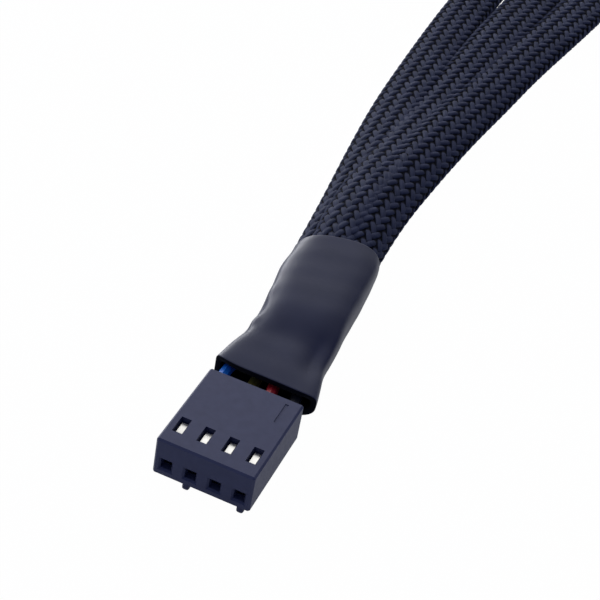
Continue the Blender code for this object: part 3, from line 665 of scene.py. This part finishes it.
def strand_mesh(sleeve, direction):
    """The strands of one direction, lifted where they pass over the others."""
    half = CARRIERS // 2
    starts = np.arange(half) / half
    shares = starts[None, :] + direction * sleeve.along[:, None] / BRAID_LEAD
    crossing = shares * CARRIERS
    wave = direction * np.cos(math.pi / 2 * (crossing - 0.5 - direction * FLOAT_LEAN))
    rise = np.clip(FLOAT_STEEPNESS * wave + FLOAT_OFFSET, -1, 1)
    lines, normals = sleeve.surface(shares, STRAND_LIFT * rise)
    width = STRAND_WIDTH * (1 + STRAND_SWELL * rise)
    return ribbon_mesh(f"strands_{direction}", lines, normals, width, rise)


def core_mesh(sleeve):
    """The tube under the strands, which fills the gaps between them; its near-black is painted
    shade.
    """
    around = np.tile(np.arange(CORE_SIDES) / CORE_SIDES, (len(sleeve.path), 1))
    rings, _ = sleeve.surface(around, -CORE_DEPTH)
    return tube_mesh("shade_core", rings)


def add_branch(name, route, shape, paints):
    """A braided sleeve in place of one branch's solid."""
    sleeve = Sleeve(route, shape, STRAND_STEP)
    parts = [(strand_mesh(sleeve, direction), 0) for direction in (1, -1)]
    parts.append((core_mesh(Sleeve(route, shape, CORE_STEP)), 1))
    joined = bmesh.new()
    for part, material in parts:
        before = len(joined.faces)
        joined.from_mesh(part)
        joined.faces.ensure_lookup_table()
        for face in joined.faces[before:]:
            face.material_index = material
    mesh = bpy.data.meshes.new(f"{name}_braid")
    joined.to_mesh(mesh)
    joined.free()
    item = add_piece(mesh.name, mesh, "sleeve", paints["strand"], paints["shade_core"])
    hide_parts(name)
    return item, sleeve


def add_branches(paints):
    """The three braided branches; the list of what hangs on each end is made but not used."""
    for n, (route, shape) in enumerate(zip(BRANCH_ROUTES, BRANCH_SHAPES)):
        number = n + 1
        item, sleeve = add_branch(f"branch_{number}", route, shape, paints)
        pieces = [f"branch_{number}_collar", f"plug_{number}_housing"]
        pieces += [f"plug_{number}_pin_{pin}" for pin in PLUG_PINS[n]]
        pieces += [f"plug_{number}_wire_{colour}" for colour in PLUG_WIRES[n]]
        if n == STRAPPED_BRANCH:
            pieces.append("tie_strap")


def boot_ring(row, inset):
    """One loop of the boot's skin, moved inwards by the inset."""
    distance, x, height, wide, tall, skew, square, bow = row
    turn = 2 * math.pi * np.arange(BOOT_SIDES) / BOOT_SIDES
    c, s = np.cos(turn), np.sin(turn)
    square = np.where(c > 0, min(square, RIGHT_SQUARENESS), square)
    cx = np.sign(c) * np.abs(c) ** (2 / square)
    cz = np.sign(s) * np.abs(s) ** (2 / square)
    swell = np.zeros(BOOT_SIDES)
    for place, angle, along, spread, rise in BOOT_MARKS:
        away = (np.degrees(turn) - angle + 180) % 360 - 180
        swell += rise * np.exp(-0.5 * (((distance - place) / along) ** 2 + (away / spread) ** 2))
    for rise, waves_along, waves_round, phase in BOOT_RIPPLES:
        swell += rise * np.sin(distance * waves_along + waves_round * turn + phase)
    across = cx * (wide - inset) + c * swell
    up = cz * (tall - inset) + s * swell
    ahead = distance + across * math.tan(math.radians(skew)) + bow * np.abs(cx) ** BOW_POWER
    return np.stack([x + across, BOOT_START + ahead, TABLE + height + up], axis=1)


def add_boot(paints):
    """The boot as one loop: its skin, the far cut, the inner wall and the mouth."""
    skin = natural_curve(BOOT_ROWS, np.linspace(0, len(BOOT_ROWS) - 1, BOOT_STATIONS))
    rings = [boot_ring(row, 0.0) for row in skin]
    rings += [boot_ring(skin[-1] + BOOT_CUT, share * BOOT_WALL) for share in CUT_SHARES]
    rings += [boot_ring(row, BOOT_WALL) for row in skin[::-1]]
    rings += [boot_ring(skin[0] - BOOT_CUT, share * BOOT_WALL) for share in CUT_SHARES[::-1]]
    rings = np.array(rings)
    index = np.arange(len(rings) * BOOT_SIDES).reshape(len(rings), BOOT_SIDES)
    ahead = np.roll(index, -1, axis=1)
    after, after_ahead = np.roll(index, -1, axis=0), np.roll(ahead, -1, axis=0)
    quads = np.stack([index, ahead, after_ahead, after], axis=-1).reshape(-1, 4).tolist()
    mesh = bpy.data.meshes.new("boot_skin")
    mesh.from_pydata(rings.reshape(-1, 3).tolist(), [], quads)
    # The cut faces and the inner wall take the core's near-black: painted shade, darker than the
    # shrink's own colour
    for face in mesh.polygons[(BOOT_STATIONS - 1) * BOOT_SIDES:]:
        face.material_index = 1
    turn_outward(mesh)
    mesh.shade_smooth()
    item = add_piece("boot_skin", mesh, "shrink", paints["shrink"], paints["shade_core"])
    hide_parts("splitter_boot")


def paint_nodes(paints):
    """A finish for each solid that stays as it is."""
    for name, item in NODES.items():
        found = [finish for word, finish in NODE_FINISHES.items() if word in name]
        if found:
            item.data.materials.clear()
            item.data.materials.append(paints[found[0]])


def main():
    bpy.context.scene.view_settings.view_transform = "Standard"
    add_camera()
    add_world()
    for lamp in LAMPS:
        add_lamp(*lamp)
    add_floor()
    paints = {
        "housing": housing_paint(), "metal": metal_paint(), "shrink": shrink_paint(),
        "strand": strand_paint(), "shade_core": shade_core_paint(), "strap": strap_paint(),
    }
    for name, colour in WIRE_COLOURS.items():
        paints[name] = wire_paint(f"wire_{name}", linear(colour))
    paint_nodes(paints)
    add_boot(paints)
    add_branches(paints)


main()
